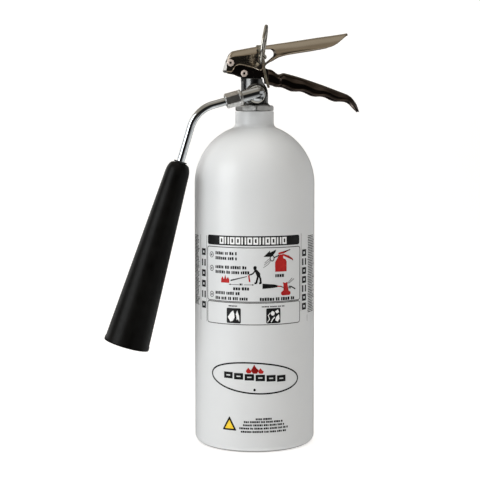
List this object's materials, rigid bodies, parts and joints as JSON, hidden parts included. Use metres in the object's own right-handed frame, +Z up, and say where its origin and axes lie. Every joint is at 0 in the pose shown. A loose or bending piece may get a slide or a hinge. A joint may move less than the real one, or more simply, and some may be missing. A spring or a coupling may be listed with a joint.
{
  "type": "fire extinguisher",
  "caption": "Hand-held carbon-dioxide fire extinguisher: white cylinder, squeeze-grip valve with pull pin and ring, and a black horn on a swivelling tube.",
  "frame": {"origin": "centre of the flat base, on the surface that the extinguisher stands on", "axes": "+Z up along the cylinder, +X along the grip, the horn hangs on the -X side, the valve outlet faces -Y"},
  "size_m": [0.2816, 0.1326, 0.4565],
  "materials": {
    "cylinder_paint": "gloss white",
    "valve_chrome": "bright plated",
    "lever_plating": "warm dark plated sheet",
    "bright_steel": "bright",
    "brass": "machined",
    "aluminium": "machined",
    "horn_plastic": "matte black",
    "seal_plastic": "satin",
    "siphon_plastic": "natural",
    "rubber": "matte",
    "label_print": "printed film",
    "emblem_print": "printed film"
  },
  "bodies": {
    "extinguisher": {"cylinder": "cylinder_paint", "neck_o_ring": "rubber", "valve_body": "valve_chrome", "siphon_tube": "siphon_plastic", "spring_retainer": "aluminium", "valve_spring": "bright_steel", "burst_disc": "bright_steel", "burst_disc_washer": "brass", "burst_disc_plug": "brass", "carry_handle": "lever_plating", "lever_rivet": "bright_steel", "handle_rivet": "bright_steel", "tamper_seal": "seal_plastic", "swivel_nipple": "brass", "swivel_washer": "seal_plastic", "swivel_o_ring": "rubber", "instruction_label": "label_print", "emblem_label": "emblem_print", "caution_label": "label_print"},
    "lever": {"operating_lever": "lever_plating"},
    "stem": {"valve_stem": "brass", "poppet_seal": "rubber", "stem_o_ring": "rubber"},
    "pin": {"pull_pin": "bright_steel"},
    "ring": {"pull_ring": "bright_steel"},
    "horn": {"swivel_elbow": "valve_chrome", "tube_nut": "valve_chrome", "tube_ferrule": "brass", "horn_tube": "valve_chrome", "horn_grommet": "rubber", "horn_lock_nut": "brass", "horn_nozzle": "brass", "discharge_horn": "horn_plastic"}
  },
  "joints": [
    {"name": "lever_squeeze", "type": "hinge", "parent": "extinguisher", "child": "lever", "pos_m": [-0.0275, 0, 0.4171], "axis": [0, 1, 0], "range_deg": [0, 8], "stiffness_Nm_per_rad": 3, "springref_deg": -8.59},
    {"name": "stem_travel", "type": "slide", "parent": "extinguisher", "child": "stem", "axis": [0, 0, -1], "range_m": [0, 0.0042], "deforming": ["valve_spring"]},
    {"name": "pin_pull", "type": "slide", "parent": "extinguisher", "child": "pin", "axis": [0, -1, 0], "range_m": [0, 0.04]},
    {"name": "ring_swing", "type": "hinge", "parent": "pin", "child": "ring", "pos_m": [0.0066, -0.0185, 0.4235], "axis": [0.2185, 0.5639, 0.7964], "range_deg": [-10, 70]},
    {"name": "horn_swing", "type": "hinge", "parent": "extinguisher", "child": "horn", "pos_m": [0, -0.028, 0.383], "axis": [0, 1, 0], "range_deg": [0, 90]}
  ],
  "couplings": [
    {"joint": "stem_travel", "follows": "lever_squeeze", "m_per_rad": 0.0288}
  ]
}
